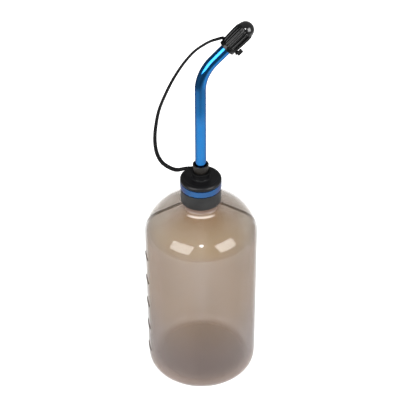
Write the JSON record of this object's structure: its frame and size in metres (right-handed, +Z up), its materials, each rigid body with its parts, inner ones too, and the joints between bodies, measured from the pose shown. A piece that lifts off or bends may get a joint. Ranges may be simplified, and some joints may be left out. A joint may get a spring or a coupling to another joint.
{
  "type": "fuel bottle",
  "caption": "Squeeze fuel bottle of smoky see-through plastic with a screw closure, a bent metal spout and a ribbed dust cap on a tether.",
  "frame": {"origin": "middle of the bottle's base, on the surface that it stands on", "axes": "+Z up along the bottle's axis, +X towards the side that the spout bends to"},
  "size_m": [0.0754, 0.075, 0.2695],
  "materials": {
    "smoky_plastic": "translucent",
    "grey_plastic": "matte",
    "black_plastic": "satin",
    "blue_anodised": "anodised",
    "liner_rubber": "matte",
    "steel": "brushed",
    "cap_rubber": "satin",
    "tether_rubber": "satin"
  },
  "bodies": {
    "bottle": {"bottle": "smoky_plastic"},
    "liner": {"cap_liner": "liner_rubber"},
    "closure": {"screw_collar": "grey_plastic", "trim_ring": "blue_anodised", "cap_top": "black_plastic", "spout_socket": "black_plastic", "socket_washer": "steel", "socket_nut": "black_plastic", "spout_tube": "blue_anodised", "tether_eyelet": "tether_rubber", "tether_strap": "tether_rubber"},
    "dust_cap": {"dust_cap": "cap_rubber", "tether_end": "tether_rubber"}
  },
  "joints": [
    {"name": "cap_lift", "type": "slide", "parent": "bottle", "child": "liner", "axis": [0, 0, 1], "range_m": [0, 0.0048]},
    {"name": "cap_turn", "type": "hinge", "parent": "liner", "child": "closure", "pos_m": [0, 0, 0.15], "axis": [0, 0, 1], "range_deg": [0, 540]},
    {"name": "dust_cap_pull", "type": "slide", "parent": "closure", "child": "dust_cap", "axis": [0.7193, 0, 0.6947], "range_m": [0, 0.018], "deforming": ["tether_strap"]}
  ],
  "couplings": [
    {"joint": "cap_lift", "follows": "cap_turn", "m_per_rad": 0.00050532}
  ]
}
